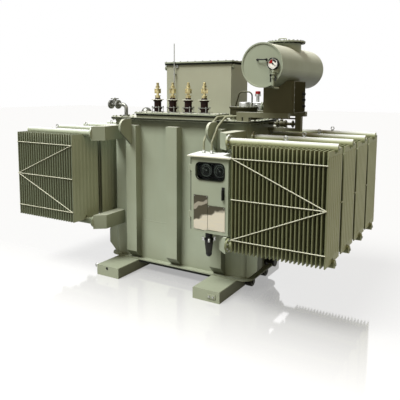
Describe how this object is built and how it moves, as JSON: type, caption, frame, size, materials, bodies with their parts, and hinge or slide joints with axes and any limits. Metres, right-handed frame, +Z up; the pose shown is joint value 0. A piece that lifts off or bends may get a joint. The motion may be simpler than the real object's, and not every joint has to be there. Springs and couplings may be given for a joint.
{
  "type": "oil-immersed power transformer",
  "caption": "Oil-filled power transformer: ribbed tank on skids with radiator banks, conservator, cable box, bushings and a marshalling cabinet with a hinged door.",
  "frame": {"origin": "on the ground under the middle of the tank", "axes": "+X along the tank towards the conservator, +Z up, front with bushings faces -Y"},
  "size_m": [4.506, 2.2326, 3.13],
  "materials": {
    "paint": "grey-green semi-gloss paint on steel",
    "porcelain": "dark brown glazed porcelain",
    "brass": "turned brass",
    "glass": "clear window pane",
    "gauge": "black instrument case",
    "black_plastic": "black moulded plastic",
    "breather": "dark jar with a metal cap",
    "aluminium": "cast aluminium",
    "red_plastic": "red moulded cap",
    "black_iron": "black paint on cast iron",
    "galvanised": "pale coated steel bar"
  },
  "bodies": {
    "transformer": {"bracing": "galvanised", "breather": "breather", "bushing_insulators": "porcelain", "bushing_plate": "paint", "bushing_terminals": "brass", "bushing_turret": "paint", "cabinet_rails": "paint", "cabinet_roof": "paint", "cable_box": "paint", "cable_box_lid": "paint", "conduits": "paint", "conservator_barrel": "paint", "conservator_end_front": "paint", "conservator_end_rear": "paint", "conservator_manhole": "paint", "cover": "paint", "drain_valve": "paint", "end_stiffeners": "paint", "filter_valve": "aluminium", "gas_relay": "aluminium", "hinge_pins": "paint", "lifting_lugs": "paint", "lightning_rod": "galvanised", "marshalling_cabinet": "paint", "oil_ducts_front": "paint", "oil_ducts_rear": "paint", "oil_level_gauge": "gauge", "oil_pipe": "paint", "pedestal": "paint", "radiator_left_1": "paint", "radiator_left_2": "paint", "radiator_left_3": "paint", "radiator_left_4": "paint", "radiator_right_1": "paint", "radiator_right_2": "paint", "radiator_right_3": "paint", "radiator_right_4": "paint", "radiator_ties": "paint", "rear_saddle": "paint", "relay_cap": "red_plastic", "relief_dome": "paint", "rollers": "black_iron", "skids": "paint", "stiffeners_front": "paint", "stiffeners_rear": "paint", "support_beams": "paint", "tank_floor": "paint", "tank_rim": "paint", "tank_wall": "paint", "tap_changer_cap": "aluminium", "tap_changer_head": "paint", "thermometers": "gauge"},
    "door": {"cabinet_door": "paint", "door_handle": "black_plastic", "door_glass": "glass"}
  },
  "joints": [
    {"name": "door_hinge", "type": "hinge", "parent": "transformer", "child": "door", "pos_m": [0.501, -0.865, 0], "axis": [0, 0, -1], "range_deg": [0, 110]}
  ]
}
